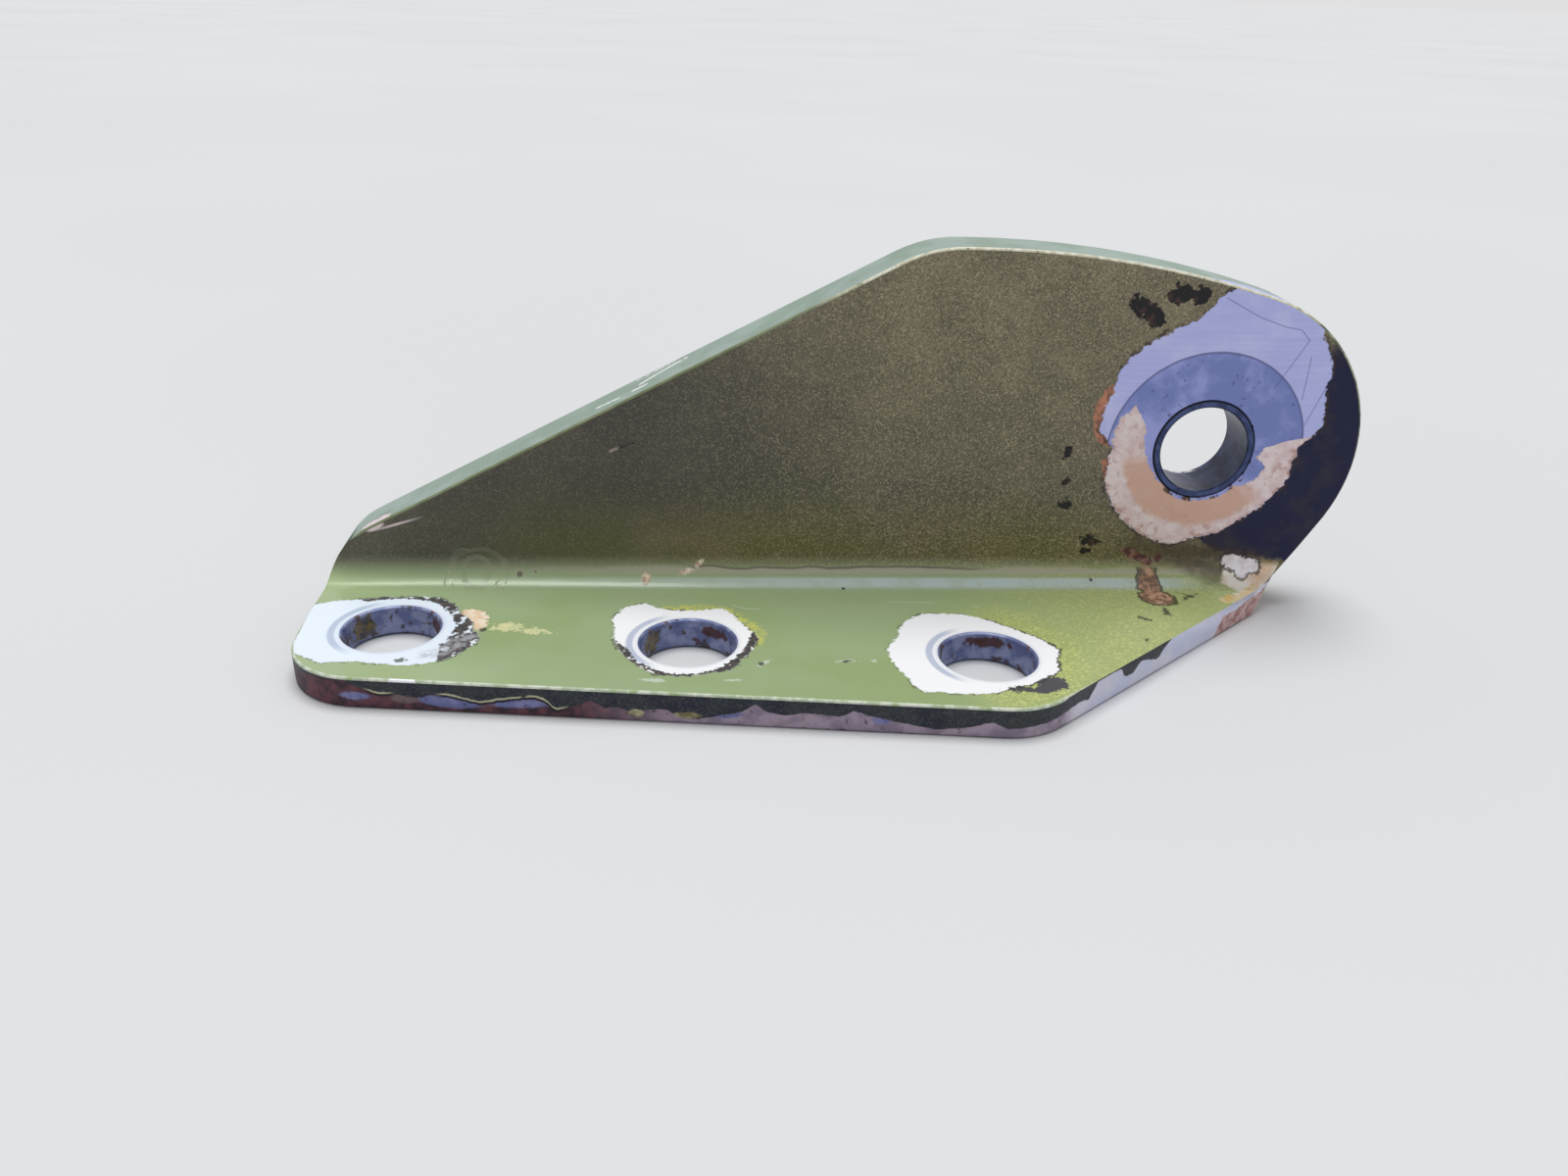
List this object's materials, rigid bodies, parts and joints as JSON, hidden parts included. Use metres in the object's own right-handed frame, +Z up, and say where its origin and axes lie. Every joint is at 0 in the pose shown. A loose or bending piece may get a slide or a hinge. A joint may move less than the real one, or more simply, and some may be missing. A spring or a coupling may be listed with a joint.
{
  "type": "landing gear fitting",
  "caption": "Angle fitting with a flat bolt-down flange, an upright web with a sloping top edge, and a rounded pivot lug with a pressed-in bushing.",
  "frame": {"origin": "where the middle flange hole's axis meets the mounting face", "axes": "+X along the hole line towards the lug, +Y from the flange to the web, +Z up and away from the mounting face"},
  "size_m": [0.1122, 0.0375, 0.0401],
  "materials": {
    "fitting": "worn olive paint over machined aluminium",
    "bushing": "machined, dulled by use"
  },
  "bodies": {
    "root": {"fitting_body": "fitting", "lug_bushing": "bushing"}
  },
  "joints": []
}
